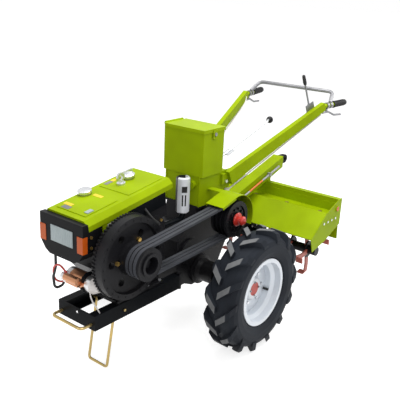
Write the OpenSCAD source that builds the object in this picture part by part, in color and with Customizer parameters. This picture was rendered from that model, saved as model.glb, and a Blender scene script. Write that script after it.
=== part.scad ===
// Walking tractor: two wheels, a single-cylinder diesel engine and a rear rotary tiller.
// Millimetres. X is forward, Y is the tractor's left, Z is up and the ground is z = 0.
// Lengths along X are measured from the wheel axle.

/* [Wheels] */
// Radius over the tyre lugs
tyre_r = 307; // [290:1:325]
// Height of a lug above the crown
lug_h = 22; // [12:1:28]
// Lugs on each side of a tyre
lug_count = 14; // [10:1:18]
// Thickness of a lug
lug_w = 24; // [16:1:32]
// Lean of a lug across the tread, in degrees
lug_lean = 42; // [30:1:50]
// Half width of a tyre
tyre_half_w = 82; // [76:1:92]
// Distance of each wheel's middle plane from the tractor's middle
track_half = 425; // [400:1:450]
// Radius of the rim flange
rim_r = 168; // [160:1:176]
// Half width of the rim
rim_half_w = 65; // [60:1:70]
// Thickness of the rim sheet
rim_wall = 4; // [3:0.5:6]
// How far the disc sits inboard of the rim's middle
disc_in = 24; // [0:1:26]
// Radius of the wheel shaft
shaft_r = 28; // [22:0.5:32]

/* [Frame] */
// Height of the underside of the rails
rail_z = 267; // [250:1:285]
// Height of a rail
rail_h = 70; // [60:1:90]
// Width of a rail flange
rail_w = 42; // [36:1:50]
// Thickness of the rail sheet
rail_t = 6; // [4:0.5:10]
// Half width over the rails
frame_half_w = 118; // [112:1:130]
// Front end of the rails
rail_front = 732; // [720:1:745]
// Thickness of the front plate
plate_t = 6; // [4:0.5:12]
// Radius of the tow hole in the front plate
tow_r = 9; // [6:0.5:12]
// Radius of the guard rod
guard_rod_r = 7; // [5:0.5:9]
// How far the guard reaches in front of the plate
guard_reach = 57; // [45:1:70]
// Half width of the guard
guard_half_w = 94; // [80:1:100]
// Radius of the stand rod
stand_rod_r = 6; // [5:0.5:8]
// Half width between the stand's legs
stand_half_w = 60; // [45:1:64]
// Place of the stand's pivot along the rails
stand_x = 565; // [520:1:600]
// How far the stand's foot lies in front of its pivot
stand_lead = 53; // [40:1:70]

/* [Engine] */
// Place of the crankshaft along the tractor
crank_x = 590; // [580:1:600]
// Height of the crankshaft above the rails
crank_h = 246; // [238:1:256]
// Right face of the crankcase
block_right = 150; // [135:1:155]
// Left face of the crankcase
block_left = 105; // [95:1:110]
// Radius of the flywheel
flywheel_r = 183; // [170:1:188]
// Inner face of the flywheel
flywheel_y = 143; // [138:1:150]
// Width of the flywheel
flywheel_w = 55; // [48:1:60]
// Width of the ring gear
ring_w = 14; // [10:1:18]
// Teeth of the ring gear
ring_teeth = 72; // [48:1:96]
// Radius of the crankshaft's end
crank_r = 30; // [24:0.5:36]
// Half length of the engine cover
cover_half_l = 258; // [245:1:270]
// Half width of the engine cover
cover_half_w = 133; // [128:1:140]
// Depth of the engine cover
cover_h = 45; // [38:1:60]
// Nose-down slope of the engine cover, in degrees
cover_tilt = 8.5; // [6:0.5:11]
// Height of the cover's middle above the rails
cover_z = 470; // [460:1:485]
// Place of the split between tank and rear cover
cover_split = 18; // [0:1:40]
// Radius of the starter motor
starter_r = 38; // [32:1:42]
// Length of the starter motor's body
starter_l = 155; // [130:1:160]
// Radius of the silencer
silencer_r = 34; // [28:1:40]
// Length of the silencer
silencer_l = 179; // [150:1:200]
// Radius of the exhaust pipe
pipe_r = 16; // [12:0.5:20]

/* [Drive] */
// Radius of the drive pulley's grooves
drive_r = 60; // [54:1:66]
// Radius of the clutch pulley's grooves
clutch_r = 78; // [70:1:84]
// Height of the belts
belt_h = 11; // [8:0.5:14]
// Width of a belt
belt_w = 17; // [12:0.5:18]
// Distance between two belts
belt_pitch = 22; // [21:0.5:26]
// Number of belts
belt_count = 3; // [1:1:4]
// Place of the clutch shaft along the tractor
clutch_x = -20; // [-40:1:0]
// Height of the clutch shaft
clutch_z = 623; // [610:1:625]
// Radius of the clutch shaft
clutch_shaft_r = 20; // [16:0.5:24]
// Inner radius of the belt guard round the clutch
guard_r = 120; // [112:1:130]
// Width of the belt guard
guard_w = 100; // [90:1:110]

/* [Gearbox] */
// Front face of the gearbox
gear_front = 186; // [170:1:200]
// Rear face of the gearbox
gear_rear = 230; // [215:1:245]
// Half width of the gearbox
gear_half_w = 95; // [85:1:100]
// Height of the gearbox's top
gear_top = 655; // [655:1:675]
// Radius of the axle housings
housing_r = 55; // [46:1:64]
// Outer end of the axle housings
housing_end = 215; // [200:1:235]

/* [Console and toolbox] */
// Thickness of the console sheet
console_t = 6; // [4:0.5:10]
// Half width over the console
console_half_w = 110; // [106:1:116]
// Height of the console
console_h = 151; // [135:1:165]
// Front face of the toolbox
box_front = 49; // [35:1:50]
// Length of the toolbox
box_l = 160; // [140:1:200]
// Half width of the toolbox
box_half_w = 124; // [115:1:135]
// Height of the toolbox
box_h = 229; // [200:1:250]
// Thickness of the toolbox sheet
box_wall = 3; // [2:0.5:5]
// Depth of the lid's lip
lid_lip = 14; // [8:1:20]
// Radius of the hinge knuckles
knuckle_r = 6; // [5:0.5:8]
// Radius of the hinge pin
hinge_pin_r = 3; // [2:0.25:4]

/* [Handlebars] */
// Length of the sloping beams
beam_l = 770; // [720:5:820]
// Rise of the sloping beams, in degrees
beam_rise = 22.5; // [20:0.5:25]
// Outward angle of the beams, in degrees
beam_splay = 11; // [9:0.5:13]
// Width of a beam
beam_w = 28; // [22:1:34]
// Height of a beam at its lower end
beam_h_low = 72; // [60:1:80]
// Height of a beam at its upper end
beam_h_top = 44; // [36:1:54]
// Radius of the handle tube
tube_r = 12.5; // [10:0.5:13]
// Length of the handle tube behind the beam
tube_l = 226; // [200:1:250]
// Radius of a grip
grip_r = 17; // [15:0.5:20]
// Length of a grip
grip_l = 125; // [100:1:140]
// Radius of the arm rest tube
rest_r = 11; // [8:0.5:14]
// Height of the arm rest above the handle tubes
rest_h = 68; // [50:1:85]
// Radius of the lever rods
lever_r = 6; // [4:0.5:8]

/* [Tiller] */
// Place of the rotor behind the axle
rotor_x = 575; // [565:1:590]
// Height of the rotor
rotor_z = 330; // [315:1:340]
// Radius of the rotor shaft
rotor_shaft_r = 25; // [20:0.5:30]
// Half length of the rotor shaft
rotor_half_l = 460; // [440:1:475]
// Radius over the tines
tine_r = 157; // [140:1:165]
// Width of a tine
tine_w = 32; // [24:1:40]
// Thickness of a tine
tine_t = 8; // [6:0.5:10]
// Reach of a tine's bent tip
tine_tip = 46; // [36:1:48]
// Tine discs on each side
disc_count = 4; // [3:1:5]
// Distance between two tine discs
disc_pitch = 100; // [92:1:108]
// Half width of the tiller between its end plates
tiller_half_w = 487; // [478:1:500]
// Thickness of the tiller's sheet
tiller_t = 3; // [2:0.5:5]
// Half width of the tiller's drive case
case_half_w = 38; // [30:1:42]
// Half width of the tiller's top beam
boom_half_w = 35; // [28:1:42]
// Rear end of the top beam behind the axle
boom_end = 860; // [840:1:900]
// Height of the top beam's rear end over its front end
boom_rise = 190; // [170:1:210]
// Radius of the rear hitch hole
hitch_r = 9; // [6:0.5:12]

/* [Hidden] */
$fn = 48;

// Clearances: running fit, still fit, seat without contact, moving sheet
run_gap = 0.05;
still_gap = 0.05;
seat_gap = 0.3;
move_gap = 2;

// Colours
green = [0.65, 0.75, 0.10];
black = [0.10, 0.10, 0.11];
silver = [0.80, 0.82, 0.84];
zinc = [0.68, 0.56, 0.26];
red = [0.80, 0.15, 0.12];
grey = [0.55, 0.56, 0.57];

// Overall placing: the middle of the length lies at x = 0
front_reach = rail_front + plate_t + guard_reach + guard_rod_r;
shelf_back = 215;
beam_x = 150;
rear_reach = beam_x + beam_l * cos(beam_rise) * cos(beam_splay) + tube_l;
axle_x = (rear_reach - front_reach) / 2;
axle_z = tyre_r;

// Frame
rail_top = rail_z + rail_h;
plate_x = rail_front + plate_t;
stand_z = rail_z + rail_h / 2;

// Engine
cover_x = crank_x - 77;
cover_y = -20;
crank_z = rail_top + crank_h;
pulley_y = flywheel_y + flywheel_w;
stub_end = pulley_y - 6;
block_front = 70;
upper_half_w = cover_half_w - 10;
upper_front = 190;
panel_h = 64;
upper_back = 215;
starter_x = crank_x + block_front + starter_r + 17;
starter_z = rail_top + 133;
starter_y = -60;
nose_l = 38;
solenoid_r = 17;
silencer_x = 115;
silencer_y = 60;
silencer_z = 636;
pipe_z = silencer_z - 36;

// Belt drive
first_belt = pulley_y + 28;
groove_w = belt_w + 1;
flange_h = belt_h + 1;
belt_gap = 0.4;
pulley_w = (belt_count - 1) * belt_pitch + 46;
clutch_y = first_belt - 23;
drive_w = clutch_y + pulley_w - pulley_y;
boss_end = clutch_y - 7;
belt_dx = crank_x - clutch_x;
belt_dz = crank_z - clutch_z;
belt_d = norm([belt_dx, belt_dz]);
belt_turn = atan2(belt_dz, belt_dx);
belt_wrap = acos((clutch_r - drive_r) / belt_d);
belt_run = sqrt(belt_d * belt_d - (clutch_r - drive_r) * (clutch_r - drive_r));

// Console, toolbox and handlebars
console_in = console_half_w - console_t;
console_top = gear_top + console_h;
console_x = box_front + 1;
shelf_z = console_top - 46;
box_back = box_front - box_l;
box_top = console_top + box_h;
lid_z = box_top + seat_gap;
hinge_y = -(box_half_w + knuckle_r + 2);
hinge_z = lid_z + box_wall;
beam_y = console_half_w + beam_w / 2 + 3;
beam_z = console_top - 6;
tube_rise = 1.75;
tube_splay = 7;
beam_end = [-beam_x - beam_l * cos(beam_rise) * cos(beam_splay),
    beam_y + beam_l * cos(beam_rise) * sin(beam_splay),
    beam_z + beam_l * sin(beam_rise) - beam_h_top / 2];

// Tiller
disc_first = case_half_w + tine_tip + tine_t + 14;
disc_half_t = 4;
disc_r = 46;
hub_r = 60;
case_top = 478;
boom_low = case_top + 2;
boom_h = 75;
bar_x = 735;
bar_z = 560;
bar_h = 45;
bar_w = 30;
hood_front = [-435, 445];
hood_peak = [-587, 555];
hood_back = [-bar_x + bar_w / 2, bar_z + 20];

function unit(v) = v / norm(v);
function boom_under(x) = boom_low + boom_rise * (-gear_rear - x) / (boom_end - gear_rear);

// Everything is drawn from the wheel axle
module place(c) color(c) translate([axle_x, 0, 0]) children();

// Solid between y0 and y0 + w from an outline in X and Z
module side(y0, w) translate([0, y0 + w, 0]) rotate([90, 0, 0]) linear_extrude(w) children();

// Solid of revolution about an axis along +Y through [x, y0, z]
module turned(x, y0, z) translate([x, y0, z]) rotate([-90, 0, 0]) rotate_extrude($fn = 96) children();

module both_sides() {
    children();
    mirror([0, 1, 0]) children();
}

module rod(a, b, r) {
    d = b - a;
    translate(a) rotate([0, acos(d.z / norm(d)), atan2(d.y, d.x)]) cylinder(r = r, h = norm(d));
}

// Points of a route whose corners are rounded with one radius
function rounded(p, bend, steps = 4) = [for (i = [0 : len(p) - 1]) each i == 0 || i == len(p) - 1 ? [p[i]] :
    let (a = unit(p[i] - p[i - 1]), b = unit(p[i + 1] - p[i]), t = acos(min(1, a * b)),
        c = p[i] + unit(b - a) * bend / cos(t / 2), x = unit(p[i] - a * bend * tan(t / 2) - c))
    [for (k = [0 : steps]) c + bend * (cos(t * k / steps) * x + sin(t * k / steps) * a)]];

// Normals carried along the directions t without twist
function carried(t, n, i = 0) = i >= len(t) ? [] :
    let (m = unit(n - (n * t[i]) * t[i])) concat([m], carried(t, m, i + 1));

// Bar of a regular section swept through the points p
module swept(p, r, sides = 10) {
    n = len(p);
    t = [for (i = [0 : n - 1]) unit((i < n - 1 ? unit(p[i + 1] - p[i]) : [0, 0, 0])
        + (i > 0 ? unit(p[i] - p[i - 1]) : [0, 0, 0]))];
    m = carried(t, abs(t[0].z) < 0.9 ? [0, 0, 1] : [1, 0, 0]);
    ring = [for (i = [0 : n - 1], k = [0 : sides - 1])
        p[i] + r * (cos(360 * k / sides) * m[i] + sin(360 * k / sides) * cross(t[i], m[i]))];
    walls = [for (i = [0 : n - 2], k = [0 : sides - 1]) let (j = (k + 1) % sides)
        [i * sides + k, (i + 1) * sides + k, (i + 1) * sides + j, i * sides + j]];
    caps = [[for (k = [0 : sides - 1]) k], [for (k = [sides - 1 : -1 : 0]) (n - 1) * sides + k]];
    polyhedron(ring, concat(walls, caps));
}

// Bent round bar through the points p
module bent_rod(p, r, bend, sides = 10) swept(rounded(p, bend), r, sides);

// Frames that several pieces share
module engine_frame() translate([crank_x, 0, rail_top]) children();
module cover_frame() translate([cover_x, cover_y, rail_top + cover_z]) rotate([0, cover_tilt, 0]) children();
module beam_frame() translate([-beam_x, beam_y, beam_z]) rotate([0, -beam_rise, 180 - beam_splay]) children();
module tube_frame() translate(beam_end) rotate([0, -tube_rise, 180 - tube_splay]) children();
module wheel_frame() translate([0, track_half, axle_z]) rotate([-90, 0, 0]) children();

module rail() {
    web_y = frame_half_w - rail_t;
    difference() {
        translate([gear_front, frame_half_w - rail_w, rail_z])
            cube([rail_front - gear_front, rail_w, rail_h]);
        translate([gear_front - 1, frame_half_w - rail_w - rail_t, rail_z + rail_t])
            cube([rail_front - gear_front + 2, rail_w, rail_h - 2 * rail_t]);
        translate([stand_x, web_y - 1, stand_z]) rotate([-90, 0, 0])
            cylinder(r = stand_rod_r + run_gap, h = rail_t + 2);
    }
}

module rail_left() place(black) rail();

module rail_right() place(black) mirror([0, 1, 0]) rail();

module front_plate() place(black) difference() {
    translate([rail_front, -frame_half_w, rail_z]) cube([plate_t, 2 * frame_half_w, rail_h]);
    translate([rail_front - 1, 0, rail_top - 2 * tow_r]) rotate([0, 90, 0])
        cylinder(r = tow_r, h = plate_t + 2);
}

module front_guard() {
    x = plate_x + guard_reach;
    z = rail_z + 25;
    place(zinc) bent_rod([[plate_x, guard_half_w, z], [x, guard_half_w, z], [x, -guard_half_w, z],
        [plate_x, -guard_half_w, z]], guard_rod_r, 20);
}

module stand() {
    x = stand_x + stand_lead;
    pin = frame_half_w + 6;
    leg = stand_half_w;
    top = leg + 22;
    r = stand_rod_r * 1.06;
    place(zinc) {
        bent_rod([[stand_x, top, stand_z], [stand_x, leg, stand_z], [x, leg, r], [x, -leg, r],
            [stand_x, -leg, stand_z], [stand_x, -top, stand_z]], r, 14);
        both_sides() translate([stand_x, top - 4, stand_z]) rotate([-90, 0, 0])
            cylinder(r = stand_rod_r, h = pin - top + 4);
    }
}

module engine_block() place(black) {
    engine_frame() {
        translate([-290, -frame_half_w + rail_t, 0]) cube([300, 2 * (frame_half_w - rail_t), 15]);
        translate([-280, -110, 10]) cube([280, 200, 90]);
        side(-block_right, block_right + block_left) polygon([[-300, 93], [-300, 303], [-260, 353],
            [-30, 353], [block_front, 263], [block_front, 163], [10, 93]]);
        turned(0, block_left - 1, crank_h) square([76, 12]);
        turned(0, block_left - 1, crank_h) square([crank_r, stub_end - block_left + 1]);
        side(-block_right - 12, 13)
            polygon([[-270, 130], [-270, 300], [-20, 300], [20, 250], [20, 150], [-20, 130]]);
    }
    cover_frame() translate([-upper_back, -upper_half_w, -165])
        cube([upper_back + upper_front, 2 * upper_half_w, 165 - cover_h]);
}

// Cross-section of the engine cover
module cover_outline() polygon([[-cover_half_w, -cover_h], [cover_half_w, -cover_h],
    [cover_half_w, -22], [cover_half_w - 21, 0], [21 - cover_half_w, 0], [-cover_half_w, -22]]);

module cover_piece(x0, x1) cover_frame() translate([x0, 0, 0]) rotate([90, 0, 90])
    linear_extrude(x1 - x0) cover_outline();

module fuel_tank() place(green) {
    cover_piece(cover_split, cover_half_l);
    cover_frame() translate([cover_split + 30, -90, -1]) cube([cover_half_l - cover_split - 60, 180, 4]);
}

module rear_cover() place(green) {
    cover_piece(-cover_half_l, cover_split);
    cover_frame() translate([-cover_half_l + 24, -92, -1]) cube([cover_half_l + cover_split - 60, 184, 3.5]);
}

module tank_caps() place(silver) cover_frame() {
    translate([78, -80, 3]) rotate_extrude($fn = 96) polygon([[0, 0], [24, 0], [24, 6], [32, 8], [32, 18],
        [28, 22], [12, 24], [0, 24]]);
    translate([-153, -46, 2.5]) {
        rotate_extrude($fn = 96) polygon([[0, 0], [26, 0], [26, 8], [34, 10], [34, 18], [24, 24], [0, 26]]);
        translate([-30, -5, 20]) cube([60, 10, 18]);
    }
}

module lifting_eye() place(silver) cover_frame() translate([-84, -20, 2.5]) {
    cylinder(r = 20, h = 8);
    cylinder(r = 9, h = 18);
    translate([0, 5, 34]) rotate([90, 0, 0]) difference() {
        cylinder(r = 22, h = 10);
        translate([0, 0, -1]) cylinder(r = 12, h = 12);
    }
}

module side_panel() place(green) cover_frame() translate([30, upper_half_w, -cover_h - panel_h])
    cube([upper_front - 42, 6, panel_h]);

module rear_panel() place(black) cover_frame() translate([-upper_back + 6, upper_half_w, -cover_h - panel_h])
    cube([upper_back + 18, 5, panel_h]);

// Outline of the lamp housing seen from the front, in Y and Z from the rails
module lamp_outline() polygon([[-150, 423], [117, 423], [117, 300], [88, 264], [60, 248], [-95, 248],
    [-122, 264], [-150, 300]]);

lamp_front = 205;
lamp_y = [-79, 56];
lamp_z = [313, 383];
turn_z = [301, 373];
turn_left = [83, 117];
turn_right = [-150, -113];

module lamp_box(y, z, depth, out, gap) translate([lamp_front - depth, y[0] - gap, z[0] - gap])
    cube([depth + out, y[1] - y[0] + 2 * gap, z[1] - z[0] + 2 * gap]);

module lamp_housing() place(black) difference() {
    engine_frame() translate([lamp_front - 150, 0, 0]) rotate([90, 0, 90]) linear_extrude(150) lamp_outline();
    cover_frame() translate([-400, -300, -500]) cube([400 + upper_front, 600, 700]);
    cover_frame() translate([-400, -300, -cover_h]) cube([400 + cover_half_l, 600, 300]);
    engine_frame() {
        lamp_box(lamp_y, lamp_z, 10, 10, seat_gap);
        lamp_box(turn_left, turn_z, 24, 10, seat_gap);
        lamp_box(turn_right, turn_z, 24, 10, seat_gap);
    }
}

module headlamp() place(silver) engine_frame() lamp_box(lamp_y, lamp_z, 10, 3, 0);

module turn_lamps() place([0.9, 0.4, 0.1]) engine_frame() {
    lamp_box(turn_left, turn_z, 24, 2, 0);
    lamp_box(turn_right, turn_z, 24, 2, 0);
}

module starter_body() place(silver) {
    turned(starter_x, starter_y, starter_z) polygon([[0, 0], [starter_r - 6, 0], [starter_r, 6],
        [starter_r, starter_l], [0, starter_l]]);
    translate([starter_x + 30, starter_y + 15, starter_z - 10])
        cube([24, 90, 20]);
    turned(starter_x + starter_r + 15, starter_y + 15, starter_z + 18)
        polygon([[0, 0], [solenoid_r, 0], [solenoid_r, 96], [0, 96]]);
}

module starter_nose() place(silver) turned(starter_x, starter_y + starter_l, starter_z)
    polygon([[0, 0], [starter_r, 0], [starter_r, 6], [20, nose_l], [0, nose_l]]);

module starter_bracket() place(black) {
    y = starter_y + starter_l - 42;
    x = crank_x + block_front;
    difference() {
        union() {
            side(y, 14) translate([starter_x, starter_z]) circle(r = starter_r + 9, $fn = 96);
            side(y, 14) polygon([[x, starter_z + 34], [starter_x, starter_z + starter_r + 8],
                [starter_x, starter_z], [x, starter_z - 4]]);
        }
        side(y - 1, 16) translate([starter_x, starter_z]) circle(r = starter_r + still_gap, $fn = 96);
        side(y - 1, 16) translate([starter_x + starter_r + 15, starter_z + 18])
            circle(r = solenoid_r + seat_gap, $fn = 96);
        side(y - 1, 16) translate([starter_x + 29, starter_z - 11]) square([40, 22]);
    }
}

module starter_cable() place(black) {
    x = starter_x + 52;
    bent_rod([[x, -92, rail_top + 248], [x, -92, rail_top + 180], [x, -112, rail_top + 120],
        [x, -104, rail_top + 66], [starter_x + 6, -100, rail_top + 72], [starter_x, -100, starter_z],
        [starter_x, starter_y, starter_z]], 6, 18, 8);
}

module silencer() place(silver) translate([silencer_x, silencer_y, silencer_z]) difference() {
    rotate_extrude($fn = 96) polygon([[0, 0], [silencer_r - 6, 0], [silencer_r, 6], [silencer_r, silencer_l - 6],
        [silencer_r - 5, silencer_l], [silencer_r - 10, silencer_l], [silencer_r - 10, silencer_l - 30],
        [0, silencer_l - 30]]);
    translate([0, 0, silencer_l - 46]) rotate([90, 0, 45]) translate([0, 0, -silencer_r - 5])
        cylinder(r = 8, h = 20);
}

module exhaust_pipe() place(black) bent_rod([[crank_x - 300, silencer_y, pipe_z],
    [silencer_x, silencer_y, pipe_z], [silencer_x, silencer_y, silencer_z]], pipe_r, 20, 12);

module gearbox() place(black) {
    side(-gear_half_w, 2 * gear_half_w) polygon([[gear_front, 262], [gear_front, 505], [140, 545],
        [70, 560], [50, gear_top], [-130, gear_top], [-gear_rear, 560], [-gear_rear, 420], [-120, 240],
        [60, 235], [120, 262]]);
    translate([gear_front - 14, -frame_half_w, rail_z - 5]) cube([14, 2 * frame_half_w, rail_h + 10]);
    translate([-130, -console_half_w, gear_top - 10]) cube([180, 2 * console_half_w, 10]);
    translate([-gear_rear, -70, 425]) cube([16, 140, 130]);
    both_sides() turned(95, gear_half_w - 1, 430) square([66, 10]);
    turned(clutch_x, gear_half_w - 1, clutch_z) square([30, boss_end - gear_half_w + 1]);
    turned(clutch_x, gear_half_w - 1, clutch_z) square([clutch_shaft_r, clutch_y + pulley_w - gear_half_w - 2]);
}

module axle_housings() place(black) both_sides() turned(0, gear_half_w, axle_z) polygon([[0, 0], [78, 0],
    [78, 12], [housing_r + 6, 16], [housing_r, 40], [housing_r, housing_end - gear_half_w - 16],
    [housing_r + 7, housing_end - gear_half_w - 16], [housing_r + 7, housing_end - gear_half_w],
    [shaft_r + run_gap, housing_end - gear_half_w], [shaft_r + run_gap, 20], [0, 20]]);

// One pulley outline: bore, hub face and the belt grooves
module pulley_outline(groove_r, bore_r, y0, w) difference() {
    translate([bore_r, 0]) square([groove_r + flange_h - bore_r, w]);
    for (i = [0 : belt_count - 1])
        translate([groove_r, first_belt + i * belt_pitch - y0 - groove_w / 2]) square([flange_h + 1, groove_w]);
}

module belt_at(y) {
    c_in = clutch_r + belt_gap;
    d_in = drive_r + belt_gap;
    translate([clutch_x, y + belt_w / 2, clutch_z]) rotate([90, -belt_turn, 0]) {
        rotate([0, 0, belt_wrap]) rotate_extrude(angle = 360 - 2 * belt_wrap, $fn = 96)
            translate([c_in, 0]) square([belt_h, belt_w]);
        translate([belt_d, 0, 0]) rotate([0, 0, -belt_wrap]) rotate_extrude(angle = 2 * belt_wrap, $fn = 96)
            translate([d_in, 0]) square([belt_h, belt_w]);
        rotate([0, 0, belt_wrap]) translate([c_in, -belt_run, 0]) cube([belt_h, belt_run, belt_w]);
        rotate([0, 0, -belt_wrap]) translate([c_in, 0, 0]) cube([belt_h, belt_run, belt_w]);
    }
}

module belts() place(black) for (i = [0 : belt_count - 1]) belt_at(first_belt + i * belt_pitch);

module belt_guard() place(green) {
    top = 75;
    low = 205;
    run = 104;
    lip = 12;
    y0 = clutch_y;
    translate([clutch_x, y0 + guard_w, clutch_z]) rotate([90, 0, 0]) rotate([0, 0, top]) {
        rotate_extrude(angle = low - top, $fn = 96) translate([guard_r, 0]) square([box_wall, guard_w]);
        rotate_extrude(angle = low - top, $fn = 96) translate([guard_r - lip, guard_w])
            square([lip + box_wall, box_wall]);
        translate([guard_r, -run, 0]) cube([box_wall, run, guard_w]);
        translate([guard_r - lip, -run, guard_w]) cube([lip + box_wall, run, box_wall]);
        translate([guard_r - lip + 4, -run, 0]) cube([lip - 4, run, box_wall]);
    }
    z = clutch_z + guard_r - 9;
    translate([clutch_x - 32, console_half_w, z]) cube([40, y0 - box_wall - console_half_w, 5]);
}

module console_sides() place(green) both_sides() side(console_in, console_t) polygon([[console_x, gear_top],
    [console_x, console_top], [-shelf_back, console_top], [-shelf_back, console_top - 70], [-130, gear_top]]);

module console_front() place(green) {
    translate([console_x - 8, -console_in, gear_top]) cube([box_wall, 2 * console_in, console_h]);
    translate([console_x - 8 + box_wall, 67, console_top - 43]) rotate([0, 90, 0]) cylinder(r = 20, h = 22);
}

module console_shelf() place(green) {
    translate([-shelf_back, -console_in, shelf_z]) cube([shelf_back - 90, 2 * console_in, console_t]);
    translate([-shelf_back, -console_in, shelf_z - 40]) cube([console_t, 2 * console_in, 40]);
}

module hinge_run(x0, l, bore) translate([x0, hinge_y, hinge_z]) rotate([0, 90, 0]) difference() {
    cylinder(r = knuckle_r, h = l);
    if (bore) translate([0, 0, -1]) cylinder(r = hinge_pin_r + run_gap, h = l + 2);
}

knuckle_l = 34;
hinge_in = 14;

module toolbox() place(green) {
    difference() {
        translate([box_back, -box_half_w, console_top]) cube([box_l, 2 * box_half_w, box_h]);
        translate([box_back + box_wall, box_wall - box_half_w, console_top + box_wall])
            cube([box_l - 2 * box_wall, 2 * (box_half_w - box_wall), box_h]);
    }
    for (x = [box_back + hinge_in, box_front - hinge_in - knuckle_l]) {
        hinge_run(x, knuckle_l, false);
        translate([x, hinge_y, hinge_z - knuckle_r - 10]) cube([knuckle_l, -hinge_y - box_half_w, 13]);
    }
    translate([box_back + hinge_in, hinge_y, hinge_z]) rotate([0, 90, 0])
        cylinder(r = hinge_pin_r, h = box_l - 2 * hinge_in);
}

module toolbox_lid() place(green) {
    lip_x = box_l / 2 + move_gap + box_wall;
    mid = (box_front + box_back) / 2;
    out_y = box_half_w + move_gap + box_wall;
    x0 = box_back + hinge_in + knuckle_l + 1;
    l = box_l - 2 * hinge_in - 2 * knuckle_l - 2;
    translate([mid - lip_x, -box_half_w - 1, lid_z]) cube([2 * lip_x, box_half_w + 1 + out_y, box_wall]);
    translate([mid - lip_x, out_y - box_wall, lid_z - lid_lip]) cube([2 * lip_x, box_wall, lid_lip + 1]);
    for (x = [mid - lip_x, mid + lip_x - box_wall])
        translate([x, -box_half_w + 6, lid_z - lid_lip]) cube([box_wall, out_y + box_half_w - 6, lid_lip + 1]);
    hinge_run(x0, l, true);
    difference() {
        translate([x0, hinge_y, lid_z]) cube([l, -hinge_y - box_half_w, box_wall]);
        translate([x0 - 1, hinge_y, hinge_z]) rotate([0, 90, 0]) cylinder(r = hinge_pin_r + run_gap, h = l + 2);
    }
    translate([mid - 16, out_y, lid_z - 46]) difference() {
        cube([32, box_wall, 44]);
        translate([16, -1, 12]) rotate([-90, 0, 0]) cylinder(r = 5, h = box_wall + 2);
    }
}

module handlebar() {
    beam_frame() translate([0, beam_w / 2, 0]) rotate([90, 0, 0]) linear_extrude(beam_w)
        polygon([[0, 0], [beam_l, 0], [beam_l, -beam_h_top], [0, -beam_h_low]]);
    translate([-shelf_back, console_half_w, console_top - 68]) cube([96, beam_w / 2 - 1, 53]);
    tube_frame() translate([-14, 0, 0]) rotate([0, 90, 0]) cylinder(r = tube_r, h = tube_l + 10);
}

module handlebar_left() place(green) handlebar();

module handlebar_right() place(green) mirror([0, 1, 0]) handlebar();

module grips() place(black) both_sides() tube_frame() translate([tube_l - grip_l, 0, 0]) rotate([0, 90, 0])
    difference() {
        rotate_extrude($fn = 96) polygon([[0, 0], [grip_r + 3, 0], [grip_r + 3, 6], [grip_r, 10],
            [grip_r, grip_l - 6], [grip_r - 5, grip_l], [0, grip_l]]);
        translate([0, 0, -1]) cylinder(r = tube_r + still_gap, h = grip_l - 4 + 1 + seat_gap);
    }

// Round bar along a handle tube from s, in the tube's own frame
module tube_bar(s, r, l) translate([s, 0, 0]) rotate([0, 90, 0]) cylinder(r = r, h = l);

rest_s = tube_l - grip_l - 37;
rest_w = 20;
rest_in = 22;
rest_start = beam_end + [-rest_s - rest_w / 2, (rest_s + rest_w / 2) * sin(tube_splay), tube_r + 4];

module arm_rest() place(grey) difference() {
    top = [rest_start.x - 62, rest_start.y - rest_in, beam_end.z + rest_h];
    union() {
        both_sides() tube_frame() tube_bar(rest_s, tube_r + 6, rest_w);
        bent_rod([rest_start, top, [top.x, -top.y, top.z], [rest_start.x, -rest_start.y, rest_start.z]],
            rest_r, 34);
    }
    both_sides() tube_frame() tube_bar(rest_s - rest_w, tube_r + still_gap, 3 * rest_w);
}

throttle_s = beam_l - 90;

module throttle() place(grey) beam_frame() {
    translate([throttle_s - 32, beam_w / 2, -34]) cube([64, 4, 70]);
    translate([throttle_s, beam_w / 2 + 4, 20]) rotate([-90, 0, 0]) cylinder(r = 12, h = 10);
    translate([throttle_s, beam_w / 2 + 8, 10]) cylinder(r = 5, h = 142);
}

module throttle_grip() place(black) beam_frame() translate([throttle_s, beam_w / 2 + 8, 152])
    rotate_extrude($fn = 96) polygon([[0, 0], [8, 0], [10, 12], [9, 50], [6, 56], [0, 56]]);

module gear_lever() place(black) {
    z = shelf_z + console_t;
    translate([-160, 0, z]) cylinder(r = 24, h = 10);
    bent_rod([[-160, 0, z + 5], [-160, 0, z + 34], [-725, 0, z + 206]], lever_r, 24);
    translate([-725, 0, z + 206]) sphere(r = 20);
    translate([-360, -22, z + 88]) rotate([0, 17, 0]) cube([60, 44, 4]);
}

lever_s = rest_s - 30;
lever_w = 16;
// Start of the lever's rod behind the end of the beam
lever_lead = 6;

module steering_levers() place(grey) both_sides() tube_frame() {
    under = -tube_r - 24;
    difference() {
        tube_bar(lever_s, tube_r + 6, lever_w);
        tube_bar(lever_s - 1, tube_r + still_gap, lever_w + 2);
    }
    translate([lever_s + lever_w / 2, 0, under + 2]) cylinder(r = 7, h = 18);
    bent_rod([[lever_lead, 0, under], [lever_s + 26, 0, under], [lever_s + 86, 0, under - 26],
        [lever_s + 156, 0, under - 32]], lever_r, 30);
}

module control_rods() place(silver) both_sides() {
    back = lever_lead;
    a = [beam_end.x - back + 10, beam_end.y + back * sin(tube_splay) - 3.7,
        beam_end.z - tube_r - 24 - lever_r - 4];
    b = [-170, console_half_w + 7, gear_top + 40];
    rod(b, a, 4);
    translate([b.x - 12, console_half_w, b.z - 12]) cube([24, 14, 24]);
}

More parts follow.
